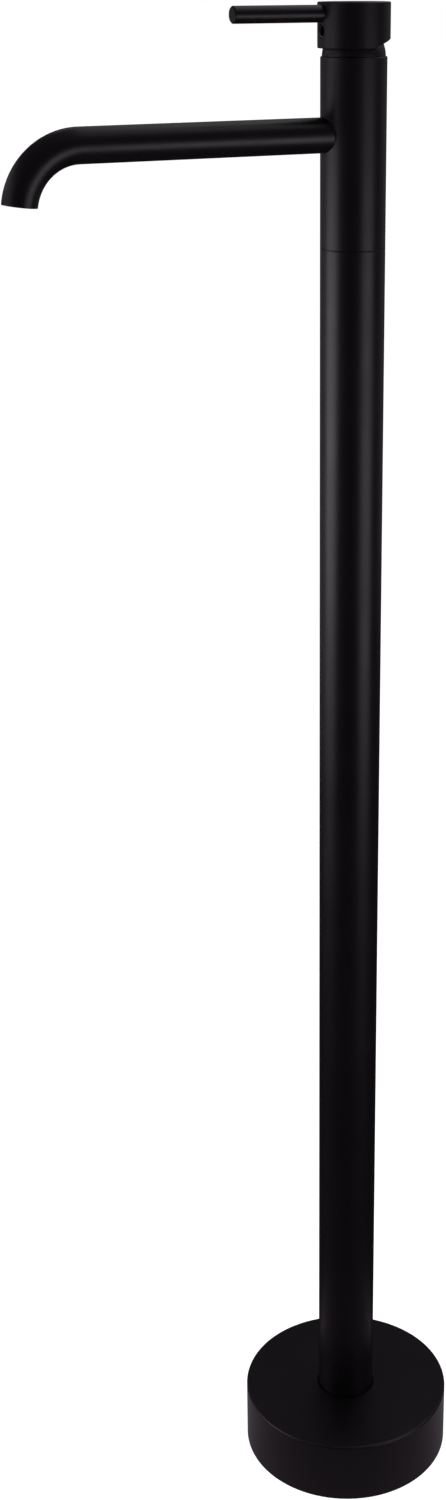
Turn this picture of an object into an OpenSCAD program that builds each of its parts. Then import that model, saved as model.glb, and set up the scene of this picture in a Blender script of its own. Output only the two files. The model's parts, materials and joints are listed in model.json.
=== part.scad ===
// Floor-standing basin mixer: single-lever head with a bent spout on a tall round riser,
// clamped in a floor socket and closed off by a sliding base cover.
// Millimetres. +Z is up, the origin is on the floor at the riser's axis, the spout points along -Y.

/* [Riser and head] */
// Height from the floor to the top of the handle cap
total_h = 1180; // [900:5:1300]
// Outside diameter of the riser and of the head
column_d = 46; // [45:0.5:48]
// Wall of the riser tube and of the head's skirt
column_wall = 2; // [1.6:0.1:2.2]
// Height of the head, from its seam with the riser to its top face
head_h = 129; // [120:1:150]
// Bevel on the two edges that meet at the seam
seam_bevel = 0.3; // [0.1:0.1:0.6]
// Height of the coupling's stub on each side of the seam
coupling_stub = 22; // [18:1:26]
// Wall of the coupling
coupling_wall = 2.4; // [2.2:0.1:3]
// Thread diameter of the head's lock screw
lock_screw_d = 5; // [4:0.5:6]

/* [Spout] */
// Outside diameter of the spout tube
spout_d = 24; // [22:0.5:26]
// Wall of the spout tube
spout_wall = 2; // [1.6:0.1:2.2]
// Distance from the head's top face down to the spout's axis
spout_drop = 51.5; // [50:0.5:56]
// Length from the riser's axis to the start of the bend
spout_run = 200; // [120:5:240]
// Radius of the bend, at the tube's axis
bend_r = 42.5; // [36:0.5:60]
// Angle of the bend, at whose end the mouth is cut square
bend_deg = 82.5; // [70:0.5:90]
// Depth of the spout's socket in the head
spout_socket = 4; // [3:0.5:5]

/* [Aerator] */
// Outside diameter of the aerator's thread
aerator_d = 21; // [20.6:0.1:21.2]
// Height of the aerator housing
aerator_h = 5.5; // [5:0.5:6]
// How far the aerator sits back from the mouth
aerator_setback = 0.8; // [0.4:0.1:1.5]
// Diameter of one jet hole
jet_d = 1.9; // [1.4:0.1:2.2]

/* [Handle] */
// Diameter of the handle cap
cap_d = 50; // [49:0.5:54]
// Height of the handle cap
cap_h = 30; // [29:0.5:34]
// Open gap between the head's top face and the cap's lower edge
cap_gap = 5.5; // [5:0.25:6.5]
// Depth of the cap's cavity
cap_cavity = 15.75; // [15:0.25:16]
// Bevel on the cap's top edge
cap_bevel = 0.5; // [0.2:0.1:1]
// Bevel on the cap's lower edge
cap_foot_bevel = 0.4; // [0.2:0.1:0.8]
// Slope of the cut at the rear of the cap's lower edge
cut_deg = 17; // [14:1:22]
// Where the cut starts, behind the riser's axis
cut_start = 1; // [0:0.5:3]
// Diameter of the boss that holds the stem
boss_d = 18; // [16:0.5:18.5]
// Depth of the boss below the cavity's roof
boss_h = 10.5; // [9.5:0.5:11]
// Diameter of the key hole under the lever
key_hole_d = 7.2; // [6.6:0.2:8]
// Width of the key hole's countersunk edge
key_sink = 1.2; // [0.4:0.1:1.4]
// From the key hole's edge to the cavity's roof
key_roof_gap = 0.95; // [0.1:0.05:1.2]
// Thread diameter of the handle's grub screw
grub_d = 5; // [4:0.5:5]
// Diameter of the lever pin
lever_d = 11.5; // [9:0.5:12]
// Reach of the lever pin from the riser's axis
lever_reach = 90.5; // [70:0.5:120]
// Bevel on the lever pin's free end
lever_bevel = 0.8; // [0.3:0.1:1.5]
// Distance from the cap's top down to the lever pin's axis
lever_drop = 7.5; // [7.25:0.25:8]
// Thread diameter of the lever pin's stud
lever_stud_d = 6; // [5:0.5:6]

/* [Cartridge] */
// Outside diameter of the cartridge
cartridge_d = 35; // [34:0.5:35.5]
// Width of the stem's square
stem_w = 8; // [7:0.5:8.5]
// Length of the stem above its pivot
stem_up = 22; // [21:0.25:22.5]
// Length of the stem's lower arm, from the pivot to the centre of its ball
stem_arm = 10; // [9.5:0.1:10.2]
// Diameter of the stem's ball
ball_d = 6; // [5:0.25:6.5]
// Diameter of the stem's pivot pin
pivot_d = 3; // [2.5:0.25:3.5]
// Thickness of each ceramic disc
disc_h = 3.5; // [3:0.25:4]
// Radius of the mixing opening in the moving disc
mix_r = 5.6; // [5:0.1:5.8]
// Step from the head's outside to the domed cover
dome_step = 1.1; // [1:0.1:2.5]
// Height of the domed cover
dome_h = 10.8; // [9:0.2:11]

/* [Hoses] */
// Distance between the hot hose's axis and the cold hose's
hose_pitch = 23; // [22.8:0.1:23.4]
// Outside diameter of a braided hose
hose_d = 12; // [10:0.5:12.5]
// Diameter of the hose's bore
hose_bore_d = 7; // [6:0.5:8]
// Diameter of a crimped ferrule
ferrule_d = 14; // [13.5:0.25:14.5]
// Thread diameter of the stud that screws into the head
stud_d = 10; // [9:0.5:10.5]
// Union nut across its flats
nut_af = 19; // [18.5:0.25:19.5]
// Height of a union nut
nut_h = 13; // [12:0.5:14]
// Core diameter of the union nut's thread
nut_thread_d = 15; // [14.5:0.1:15.4]

/* [Floor fixing] */
// Diameter of the floor plate
plate_d = 152; // [146:1:156]
// Thickness of the floor plate
plate_t = 6; // [4:0.5:8]
// Thickness of the rubber gasket under the plate
gasket_t = 1.5; // [1:0.25:3]
// Diameter of the plate's opening for the supply pipes
plate_opening_d = 54; // [50:0.5:56]
// Pitch circle of the anchor holes
anchor_pcd = 124; // [120:1:128]
// Number of anchor holes
anchor_count = 4; // [3:1:6]
// Diameter of an anchor hole
anchor_d = 9; // [7:0.5:11]
// Diameter of the socket's flange
flange_d = 100; // [96:1:104]
// Thickness of the socket's flange
flange_t = 6; // [5:0.5:8]
// Wall of the socket's collar
collar_wall = 7.9; // [6:0.1:9]
// Height of the socket above the floor plate
socket_h = 36.5; // [34:0.5:37]
// Thread diameter of the bolts that hold the socket to the plate
bolt_d = 6; // [5:0.5:6]
// Pitch circle of the socket bolts
bolt_pcd = 82; // [80:1:86]
// Thread diameter of the screws that clamp the riser
clamp_d = 6; // [5:0.5:8]

/* [Base cover] */
// Outside diameter of the base cover
cover_d = 170; // [165:1:190]
// Height of the base cover
cover_h = 52; // [51.5:0.5:60]
// Wall of the base cover's skirt
cover_wall = 2; // [1.5:0.25:3]
// Thickness of the base cover's top
cover_top = 3; // [2:0.25:3]
// Radius of the rounded upper edge
cover_edge_r = 1.6; // [0.6:0.2:1.8]
// Depth of the neck that holds the grip ring
neck_h = 7; // [6.5:0.1:7]
// Wall of the neck
neck_wall = 4; // [3.4:0.1:5]
// Gap between the riser and the neck, filled by the grip ring's lip
neck_gap = 0.8; // [0.8:0.1:1.5]

/* [Fits] */
// Clearance on the radius of a part that turns or slides on another
run_gap = 0.06; // [0.03:0.01:0.1]
// Clearance on the radius of a screwed, pressed or brazed joint
seat_gap = 0.05; // [0.02:0.01:0.08]
// Air around a part that moves past another
free_gap = 0.6; // [0.5:0.05:0.7]

/* [Hidden] */
$fn = 96;
eps = 0.01;

// Heights that the head hangs from
cap_bottom = total_h - cap_h;
head_top = cap_bottom - cap_gap;
seam_z = head_top - head_h;
spout_z = head_top - spout_drop;
pivot_z = head_top;
column_r = column_d / 2;
riser_bore_r = column_r - column_wall;

// Cartridge, measured from the pivot
cartridge_r = cartridge_d / 2;
housing_wall = 1.3;
chamber_r = cartridge_r - housing_wall;
rotor_r = 12;
rotor_flange_r = 15.8;
rotor_top = pivot_z + 3;
rotor_flange_t = 3.4;
slot_y = 7;
slot_gap = 0.15;
ball_r = ball_d / 2;
ball_z = pivot_z - stem_arm;
ball_play = 0.3;
carrier_floor = 1.3;
carrier_top = pivot_z - 7.9;
carrier_bottom = ball_z - ball_r - 0.2 - carrier_floor;
rotor_bottom = carrier_top + free_gap;
roof_z = rotor_bottom + rotor_flange_t + 0.3;
roof_t = 1.7;
shoulder_z = roof_z + roof_t;
neck_r = cartridge_r - 2.9;
neck_top = pivot_z + 3.5;
moving_bottom = carrier_bottom - disc_h;
fixed_bottom = moving_bottom - disc_h;
moving_r = chamber_r - 3.3;
disc_offset = 1.4;
base_h = 12.1;
base_bottom = fixed_bottom - base_h;
base_flange_h = 5.1;
seat_z = base_bottom - 0.4;
housing_bottom = base_bottom + base_flange_h;
inlet_xy = [5.2, -7.6];
inlet_r = 2.3;
outlet_r = 2.9;
seal_w = 1;
seal_lift = 0.7;
peg_xy = [11, 7];
peg_r = 1.5;
peg_h = 2;
rail_x = 8.5;
rail_w = 2;
rail_h = 2;

// Retaining nut and domed cover
head_thread_r = column_r - 3;
nut_skirt = 8;
nut_top_z = pivot_z + 3;
head_thread_z = pivot_z - nut_skirt - 1;
dome_r = column_r - dome_step;
dome_wall = 1.7;
dome_thread_r = dome_r - dome_wall - 0.65;
dome_thread_h = 3.3;
nut_neck_r = dome_thread_r - seat_gap;

// Handle
cap_r = cap_d / 2;
cavity_r = dome_r + free_gap;
roof_under = cap_bottom + cap_cavity;
boss_bottom = roof_under - boss_h;
boss_r = boss_d / 2;
key_z = roof_under - key_hole_d / 2 - key_roof_gap;
lever_z = total_h - lever_drop;
lever_r = lever_d / 2;
lever_seat = cap_r - 4.5;
lever_stud_l = 11;
stem_top = pivot_z + stem_up;
stem_hole_top = stem_top + 0.6;
grub_l = 6;

// Head passages and hoses
nut_corner_d = nut_af / cos(30);
hose_x = hose_pitch / 2;
hose_r = hose_d / 2;
hose_bore_r = hose_bore_d / 2;
ferrule_r = ferrule_d / 2;
ferrule_h = 15;
stud_r = stud_d / 2;
stud_thread_h = 9;
stud_bore_r = 2.6;
core_z = seat_z - 32.5;
stud_hole_top = core_z + stud_thread_h + 1;
passage_r = 4;
drill_over = 3;
stud_ring_h = 2;
stud_collar_z = core_z - stud_ring_h - 20;
stud_collar_r = 5.8;
barb_h = 17;
coupling_r = riser_bore_r - seat_gap;
coupling_bore_r = coupling_r - coupling_wall;
ring_cord_r = 0.85;
ring_groove_h = 2.2;
lock_z = seam_z + coupling_stub / 2;
lock_l = 3.7;

// Spout
spout_r = spout_d / 2;
spout_bore_r = spout_r - spout_wall;
bend_centre = [0, -spout_run, spout_z - bend_r];
mouth_y = -spout_run - bend_r * sin(bend_deg);
mouth_z = spout_z - bend_r * (1 - cos(bend_deg));
aerator_r = aerator_d / 2;
aerator_wall = 1.2;
washer_h = 1.2;
screen_h = 1;
insert_h = 3.2;
aerator_pocket = aerator_setback + aerator_h + washer_h;

// Unions at the foot
nut_bottom = 3;
nut_roof = 1.8;
nut_relief = 0.25;
tail_flange_t = 2.5;
tail_flange_r = nut_thread_d / 2 - 0.6;
tail_top_of_flange = nut_bottom + nut_h - nut_roof - 0.3;
tail_neck_r = 5.2;
tail_washer_h = 2;
tail_bore_r = 2.6;
washer_z = tail_top_of_flange - tail_flange_t - tail_washer_h;
nut_thread_h = washer_z - nut_bottom;
hose_bottom = nut_bottom + nut_h + 3;
hose_top = stud_collar_z - 2;

// Floor fixing and cover
plate_z = gasket_t;
plate_top = plate_z + plate_t;
opening_r = plate_opening_d / 2;
socket_pocket_h = 10;
socket_lip_h = 2.5;
riser_foot = plate_top + socket_pocket_h + socket_lip_h;
socket_bore_r = column_r + seat_gap;
collar_r = socket_bore_r + collar_wall;
clamp_z = plate_top + socket_h - 10;
clamp_count = 3;
bolt_count = 4;
bolt_head_r = bolt_d * 0.83;
neck_bore_r = column_r + neck_gap;
groove_deep = 1.8;
groove_h = 4;
groove_z = cover_h - neck_h + 2;
lip_h = 3;

// Helpers

// Straight tube standing on the origin
module tube(r_out, r_in, h) {
    difference() {
        cylinder(r = r_out, h = h);
        translate([0, 0, -1]) cylinder(r = r_in, h = h + 2);
    }
}

// Solid rod from one point to another, run on by some length past both
module rod_between(p, q, r, over) {
    v = q - p;
    translate(p) rotate([0, acos(v.z / norm(v)), atan2(v.y, v.x)]) rotate([0, 0, 90])
        translate([0, 0, -over]) cylinder(r = r, h = norm(v) + 2 * over);
}

// Round O-ring about the Z axis
module o_ring(r_mid, r_cord) {
    rotate_extrude() translate([r_mid, 0]) circle(r = r_cord);
}

// Copies at the cold and at the hot side, mirrored about the spout's plane
module both_sides(x) {
    for (side = [-1, 1]) translate([side * x, 0, 0]) children();
}

// Copies evenly spaced about the Z axis
module around(count, r, start = 0) {
    for (i = [0 : count - 1]) rotate([0, 0, start + i * 360 / count]) translate([r, 0, 0]) children();
}

// Local frame at the spout's mouth: +Z points out along the water jet
module at_mouth() {
    translate([0, mouth_y, mouth_z]) rotate([90 + bend_deg, 0, 0]) children();
}

// Set screw along -Y with a hexagon socket in its outer end, its tip at y = -tip
module set_screw(d, tip, l) {
    rotate([90, 0, 0]) difference() {
        translate([0, 0, tip]) cylinder(r = d / 2, h = l);
        translate([0, 0, tip + l - d * 0.5]) cylinder(r = d * 0.29, h = d, $fn = 6);
    }
}

// The cartridge's three water ways: two inlets towards the spout, one outlet on the axis
module water_ways(z, h) {
    for (side = [-1, 1]) translate([side * inlet_xy.x, inlet_xy.y, z]) cylinder(r = inlet_r, h = h);
    translate([0, 0, z]) cylinder(r = outlet_r, h = h);
}

// A flat ring round each water way, grown by a gap for the groove that it lies in
module way_rings(z, h, gap) {
    for (side = [-1, 1]) translate([side * inlet_xy.x, inlet_xy.y, z])
        tube(inlet_r + seal_lift + seal_w + gap, inlet_r + seal_lift - gap, h);
    translate([0, 0, z]) tube(outlet_r + seal_lift + seal_w + gap, outlet_r + seal_lift - gap, h);
}

// Handle

// Cap: a beveled cylinder, hollow from below, with a boss that grips the stem
module handle_cap() {
    color([0.07, 0.07, 0.08]) difference() {
        union() {
            difference() {
                rotate_extrude() polygon([[0, cap_bottom], [cap_r - cap_foot_bevel, cap_bottom],
                    [cap_r, cap_bottom + cap_foot_bevel], [cap_r, total_h - cap_bevel],
                    [cap_r - cap_bevel, total_h], [0, total_h]]);
                translate([0, 0, cap_bottom - 1]) cylinder(r = cavity_r, h = cap_cavity + 1);
                // slanted cut that clears the head when the lever is lifted
                translate([0, cut_start, cap_bottom]) rotate([cut_deg, 0, 0])
                    translate([-cap_d, 0, -cap_d]) cube([2 * cap_d, 2 * cap_d, cap_d]);
            }
            translate([0, 0, boss_bottom]) cylinder(r = boss_r, h = boss_h + 1);
        }
        // square hole for the stem
        translate([-stem_w / 2 - seat_gap, -stem_w / 2 - seat_gap, boss_bottom - 1])
            cube([stem_w + 2 * seat_gap, stem_w + 2 * seat_gap, stem_hole_top - boss_bottom + 1]);
        // key hole through the wall and threaded hole through the boss
        translate([0, -boss_r - 1, key_z]) rotate([90, 0, 0]) cylinder(r = key_hole_d / 2, h = cap_r);
        translate([0, -cap_r + key_sink, key_z]) rotate([90, 0, 0])
            cylinder(r1 = key_hole_d / 2, r2 = key_hole_d / 2 + 2 * key_sink, h = 2 * key_sink);
        translate([0, 0, key_z]) rotate([90, 0, 0]) cylinder(r = grub_d / 2 + seat_gap, h = cap_r);
        // seat and threaded hole of the lever pin
        translate([0, -lever_seat, lever_z]) rotate([90, 0, 0])
            cylinder(r = lever_r + seat_gap, h = cap_r);
        translate([0, -lever_seat + lever_stud_l + 0.5, lever_z]) rotate([90, 0, 0])
            cylinder(r = lever_stud_d / 2 + seat_gap, h = lever_stud_l + 1);
    }
}

// Lever pin: a plain rod with a beveled end and a stud in the cap
module lever_pin() {
    color([0.07, 0.07, 0.08]) translate([0, 0, lever_z]) rotate([90, 0, 0]) rotate_extrude()
        polygon([[0, lever_seat - lever_stud_l], [lever_stud_d / 2, lever_seat - lever_stud_l],
            [lever_stud_d / 2, lever_seat], [lever_r, lever_seat],
            [lever_r, lever_reach - lever_bevel], [lever_r - lever_bevel, lever_reach],
            [0, lever_reach]]);
}

// Grub screw in the boss, its tip on the stem's flat
module handle_grub_screw() {
    color([0.35, 0.35, 0.37]) translate([0, 0, key_z]) set_screw(grub_d, stem_w / 2 + 0.1, grub_l);
}

// Cartridge

// Stem: square end, pivot barrel and a lower arm with a ball
module cartridge_stem() {
    color([0.75, 0.63, 0.35]) difference() {
        union() {
            translate([-stem_w / 2, -stem_w / 2, pivot_z]) cube([stem_w, stem_w, stem_up]);
            translate([-stem_w / 2, 0, pivot_z]) rotate([0, 90, 0])
                cylinder(r = stem_w / 2 + 0.4, h = stem_w);
            translate([0, 0, ball_z]) cylinder(r = ball_r * 0.66, h = stem_arm);
            translate([0, 0, ball_z]) sphere(r = ball_r);
        }
        translate([-stem_w, 0, pivot_z]) rotate([0, 90, 0])
            cylinder(r = pivot_d / 2 + run_gap, h = 2 * stem_w);
    }
}

// Rotor: turns in the housing's neck and carries the stem in a slot
module stem_rotor() {
    color([0.85, 0.85, 0.83]) difference() {
        union() {
            translate([0, 0, rotor_bottom]) cylinder(r = rotor_flange_r, h = rotor_flange_t);
            translate([0, 0, rotor_bottom]) cylinder(r = rotor_r, h = rotor_top - rotor_bottom);
        }
        translate([-stem_w / 2 - slot_gap, -slot_y, rotor_bottom - 1])
            cube([stem_w + 2 * slot_gap, 2 * slot_y, rotor_top - rotor_bottom + 2]);
        translate([-rotor_r - 1, 0, pivot_z]) rotate([0, 90, 0])
            cylinder(r = pivot_d / 2 + 0.02, h = 2 * rotor_r + 2);
        // grooves that guide the carrier's rails
        both_sides(rail_x) translate([-rail_w / 2 - 0.2, -rotor_flange_r, rotor_bottom - 1])
            cube([rail_w + 0.4, 2 * rotor_flange_r, 1 + rail_h - free_gap + 0.3]);
    }
}

module stem_pivot_pin() {
    l = 2 * (rotor_r - 0.5);
    color([0.8, 0.8, 0.82]) translate([-l / 2, 0, pivot_z]) rotate([0, 90, 0])
        cylinder(r = pivot_d / 2, h = l);
}

// Carrier: slides under the rotor, pushed by the stem's ball
module disc_carrier() {
    carrier_r = moving_r - 0.5;
    color([0.9, 0.9, 0.88]) difference() {
        union() {
            translate([0, disc_offset, carrier_bottom])
                cylinder(r = carrier_r, h = carrier_top - carrier_bottom);
            both_sides(rail_x) translate([-rail_w / 2, disc_offset - 7, carrier_top - eps])
                cube([rail_w, 14, rail_h + eps]);
        }
        translate([0, 0, carrier_bottom + carrier_floor])
            cylinder(r = ball_r + ball_play, h = carrier_top - carrier_bottom);
        translate([0, 0, carrier_bottom - 1]) tube(mix_r + 2.5, mix_r + 0.9, 1 + 0.9);
    }
}

module carrier_seal() {
    color([0.1, 0.1, 0.1]) translate([0, 0, carrier_bottom]) tube(mix_r + 2.4, mix_r + 1, 0.85);
}

// Moving disc: its round opening joins the inlets to the outlet as it slides
module moving_disc() {
    color([0.96, 0.95, 0.92]) difference() {
        translate([0, disc_offset, moving_bottom]) cylinder(r = moving_r, h = disc_h);
        translate([0, 0, moving_bottom - 1]) cylinder(r = mix_r, h = disc_h + 2);
    }
}

module fixed_disc() {
    color([0.92, 0.9, 0.86]) difference() {
        translate([0, 0, fixed_bottom]) cylinder(r = chamber_r - seat_gap, h = disc_h);
        water_ways(fixed_bottom - 1, disc_h + 2);
    }
}

module disc_seals() {
    color([0.1, 0.1, 0.1]) way_rings(fixed_bottom - 1.2, 1.2, 0);
}

// Base: closes the cartridge from below and sits on the head's seat with two pegs
module cartridge_base() {
    color([0.2, 0.2, 0.22]) difference() {
        union() {
            translate([0, 0, base_bottom]) cylinder(r = cartridge_r - 0.2, h = base_flange_h);
            translate([0, 0, base_bottom]) cylinder(r = chamber_r - seat_gap, h = base_h);
            both_sides(peg_xy.x) translate([0, peg_xy.y, seat_z - peg_h])
                cylinder(r = peg_r, h = peg_h + base_bottom - seat_z + eps);
        }
        water_ways(seat_z - 1, base_h + 2);
        way_rings(fixed_bottom - 1.3, 2, 0.1);
        way_rings(seat_z - 1, base_bottom - seat_z + 1 + 1.6, 0.1);
    }
}

module seat_seals() {
    color([0.1, 0.1, 0.1]) way_rings(seat_z, base_bottom - seat_z + 1.5, 0);
}

// Housing: the cartridge's shell, with a neck for the rotor
module cartridge_housing() {
    color([0.93, 0.93, 0.91]) difference() {
        union() {
            translate([0, 0, housing_bottom]) cylinder(r = cartridge_r, h = shoulder_z - housing_bottom);
            translate([0, 0, housing_bottom]) cylinder(r = neck_r, h = neck_top - housing_bottom);
        }
        translate([0, 0, housing_bottom - 1]) cylinder(r = chamber_r, h = roof_z - housing_bottom + 1);
        translate([0, 0, housing_bottom]) cylinder(r = rotor_r + run_gap, h = total_h);
    }
}

// Ring on the housing's neck that limits how hot the handle can be turned
module limit_ring() {
    color([0.7, 0.12, 0.1]) difference() {
        translate([0, 0, neck_top]) tube(neck_r, rotor_r + 0.3, 1);
        around(24, neck_r) translate([0, 0, neck_top - 1]) cylinder(r = 0.35, h = 3);
    }
}

// Retaining nut: presses the cartridge's shoulder down and holds the domed cover
module retaining_nut() {
    color([0.78, 0.64, 0.33]) difference() {
        union() {
            translate([0, 0, pivot_z - nut_skirt])
                cylinder(r = head_thread_r - seat_gap, h = nut_skirt);
            translate([0, 0, pivot_z - nut_skirt])
                cylinder(r = nut_neck_r, h = nut_top_z - pivot_z + nut_skirt);
        }
        translate([0, 0, pivot_z - nut_skirt - 1])
            cylinder(r = cartridge_r + 0.2, h = shoulder_z - pivot_z + nut_skirt + 1);
        translate([0, 0, pivot_z - nut_skirt]) cylinder(r = neck_r + 0.2, h = total_h);
        // notches for the pin spanner
        around(6, nut_neck_r) translate([-1.5, -1.25, nut_top_z - 1.8]) cube([3, 2.5, 3]);
    }
}

// Domed cover: a slice of a sphere about the pivot, so the cap swings round it with an even gap
module cartridge_cover() {
    color([0.07, 0.07, 0.08]) translate([0, 0, pivot_z]) difference() {
        intersection() {
            sphere(r = dome_r);
            cylinder(r = dome_r, h = dome_h);
        }
        sphere(r = dome_r - dome_wall);
        translate([0, 0, -1]) cylinder(r = dome_thread_r, h = dome_thread_h + 1);
    }
}

// Head

// Mixer body: cartridge chamber above, solid core with the water passages, open skirt below
module mixer_body() {
    color([0.07, 0.07, 0.08]) difference() {
        rotate_extrude() polygon([[0, core_z], [riser_bore_r, core_z], [riser_bore_r, seam_z],
            [column_r - seam_bevel, seam_z], [column_r, seam_z + seam_bevel],
            [column_r, head_top - seam_bevel], [column_r - seam_bevel, head_top],
            [head_thread_r, head_top], [head_thread_r, head_thread_z],
            [cartridge_r + 0.1, head_thread_z], [cartridge_r + 0.1, seat_z], [0, seat_z]]);
        both_sides(peg_xy.x) translate([0, peg_xy.y, seat_z - peg_h - 0.3])
            cylinder(r = peg_r + 0.1, h = peg_h + 1);
        // hose ports, and the passages from them to the cartridge's inlets
        both_sides(hose_x) translate([0, 0, core_z - 1])
            cylinder(r = stud_r + seat_gap, h = stud_hole_top - core_z + 1);
        for (side = [-1, 1]) rod_between([side * hose_x, 0, stud_hole_top],
            [side * inlet_xy.x, inlet_xy.y, seat_z], inlet_r, drill_over);
        // mixed water, down from the cartridge and out to the spout
        translate([0, 0, spout_z]) cylinder(r = outlet_r, h = seat_z - spout_z + 1);
        translate([0, passage_r, spout_z]) rotate([90, 0, 0]) cylinder(r = passage_r, h = column_r);
        translate([0, -column_r + spout_socket, spout_z]) rotate([90, 0, 0])
            cylinder(r = spout_r + seat_gap, h = column_r);
        // hole of the lock screw, at the back
        translate([0, 0, lock_z]) rotate([-90, 0, 0])
            cylinder(r = lock_screw_d / 2 + seat_gap, h = column_d);
    }
}

// One solid along the spout's path: a straight run, then the bend
module spout_path(r, start, overrun_deg) {
    translate([0, -start, spout_z]) rotate([90, 0, 0]) cylinder(r = r, h = spout_run - start);
    translate(bend_centre) rotate([180, -90, 0]) rotate_extrude(angle = bend_deg + overrun_deg)
        translate([bend_r, 0]) circle(r = r);
}

module spout() {
    socket_y = column_r - spout_socket;
    color([0.07, 0.07, 0.08]) difference() {
        spout_path(spout_r, socket_y, 0);
        spout_path(spout_bore_r, socket_y - 1, 1);
        at_mouth() translate([0, 0, -aerator_pocket])
            cylinder(r = aerator_r + seat_gap, h = spout_d);
    }
}

// Aerator, built back from the mouth

module aerator_housing() {
    color([0.12, 0.12, 0.13]) at_mouth() translate([0, 0, -aerator_setback - aerator_h]) difference() {
        tube(aerator_r, aerator_r - aerator_wall, aerator_h);
        // key notches on the visible face
        around(4, aerator_r) translate([0, 0, aerator_h]) rotate([0, 90, 0])
            cylinder(r = 0.9, h = 4, center = true);
    }
}

// Grid of holes through a round plate, on rings about its axis
module perforated_plate(r, h, hole_r, pitch) {
    difference() {
        cylinder(r = r, h = h);
        translate([0, 0, -1]) cylinder(r = hole_r, h = h + 2);
        for (ring = [1 : floor((r - hole_r - 0.6) / pitch)])
            around(6 * ring, pitch * ring, 15 * ring) translate([0, 0, -1])
                cylinder(r = hole_r, h = h + 2);
    }
}

module aerator_insert() {
    color([0.75, 0.75, 0.74]) at_mouth() translate([0, 0, -aerator_setback - insert_h - 0.3])
        perforated_plate(aerator_r - aerator_wall - seat_gap, insert_h, jet_d / 2, jet_d * 1.5);
}

module aerator_screen() {
    color([0.8, 0.8, 0.82]) at_mouth() translate([0, 0, -aerator_setback - aerator_h])
        perforated_plate(aerator_r - aerator_wall - seat_gap, screen_h, 0.7, 2.2);
}

module aerator_washer() {
    color([0.1, 0.1, 0.1]) at_mouth() translate([0, 0, -aerator_pocket])
        tube(aerator_r, aerator_r - aerator_wall - 1, washer_h);
}

// Riser

// Coupling: a sleeve half in the head's skirt and half in the riser
module head_coupling() {
    color([0.78, 0.64, 0.33]) difference() {
        translate([0, 0, seam_z - coupling_stub]) difference() {
            tube(coupling_r, coupling_bore_r, 2 * coupling_stub);
            for (z = [0.3, 1.7]) translate([0, 0, z * coupling_stub])
                translate([0, 0, -ring_groove_h / 2])
                    tube(coupling_r + 1, coupling_r - 2 * ring_cord_r, ring_groove_h);
        }
        translate([0, 0, lock_z]) rotate([-90, 0, 0])
            cylinder(r = lock_screw_d / 2 + seat_gap, h = column_d);
    }
}

module coupling_rings() {
    color([0.1, 0.1, 0.1]) for (z = [0.3, 1.7])
        translate([0, 0, seam_z - coupling_stub + z * coupling_stub])
            o_ring(coupling_r - ring_cord_r, ring_cord_r);
}

module head_lock_screw() {
    color([0.07, 0.07, 0.08]) translate([0, 0, lock_z]) rotate([0, 0, 180])
        set_screw(lock_screw_d, coupling_bore_r + 0.6, lock_l);
}

module riser_column() {
    color([0.07, 0.07, 0.08]) difference() {
        rotate_extrude() polygon([[riser_bore_r, riser_foot], [column_r, riser_foot],
            [column_r, seam_z - seam_bevel], [column_r - seam_bevel, seam_z],
            [riser_bore_r, seam_z]]);
    }
}

// Hoses

module braided_hose() {
    translate([0, 0, hose_bottom]) tube(hose_r, hose_bore_r, hose_top - hose_bottom);
}

module hot_hose() {
    color([0.7, 0.7, 0.72]) translate([-hose_x, 0, 0]) braided_hose();
}

module cold_hose() {
    color([0.7, 0.7, 0.72]) translate([hose_x, 0, 0]) braided_hose();
}

// Crimped sleeves at both ends of both hoses
module hose_ferrules() {
    color([0.8, 0.8, 0.82]) both_sides(hose_x) for (z = [hose_bottom + 1, hose_top - ferrule_h - 1])
        translate([0, 0, z]) tube(ferrule_r, hose_r + seat_gap, ferrule_h);
}

// Studs that screw into the head's core, with a barb down in the hose
module hose_studs() {
    color([0.78, 0.64, 0.33]) both_sides(hose_x) difference() {
        union() {
            translate([0, 0, hose_top - barb_h])
                cylinder(r = hose_bore_r - seat_gap, h = barb_h + 3);
            translate([0, 0, hose_top]) cylinder(r = stud_collar_r, h = core_z - stud_ring_h - hose_top);
            translate([0, 0, core_z - stud_ring_h - eps])
                cylinder(r = stud_r - 1.8, h = stud_ring_h + 2 * eps);
            translate([0, 0, core_z]) cylinder(r = stud_r, h = stud_thread_h);
        }
        translate([0, 0, hose_top - barb_h - 1]) cylinder(r = stud_bore_r, h = total_h);
    }
}

module stud_rings() {
    color([0.1, 0.1, 0.1]) both_sides(hose_x) translate([0, 0, core_z - stud_ring_h / 2])
        o_ring(stud_r - 1.8 + seat_gap + stud_ring_h / 2 - 0.1, stud_ring_h / 2 - 0.1);
}

// Tails at the lower ends, with the flange that the union nut pulls down
module hose_tails() {
    color([0.78, 0.64, 0.33]) both_sides(hose_x) difference() {
        union() {
            translate([0, 0, tail_top_of_flange - tail_flange_t])
                cylinder(r = tail_flange_r, h = tail_flange_t);
            translate([0, 0, tail_top_of_flange]) cylinder(r = tail_neck_r,
                h = hose_bottom - tail_top_of_flange);
            translate([0, 0, hose_bottom - eps]) cylinder(r = hose_bore_r - seat_gap, h = barb_h);
        }
        translate([0, 0, -1]) cylinder(r = tail_bore_r, h = hose_bottom + barb_h + 2);
    }
}

module tail_washers() {
    color([0.15, 0.15, 0.15]) both_sides(hose_x)
        translate([0, 0, washer_z])
            tube(tail_flange_r, tail_bore_r + 0.6, tail_washer_h);
}

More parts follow.
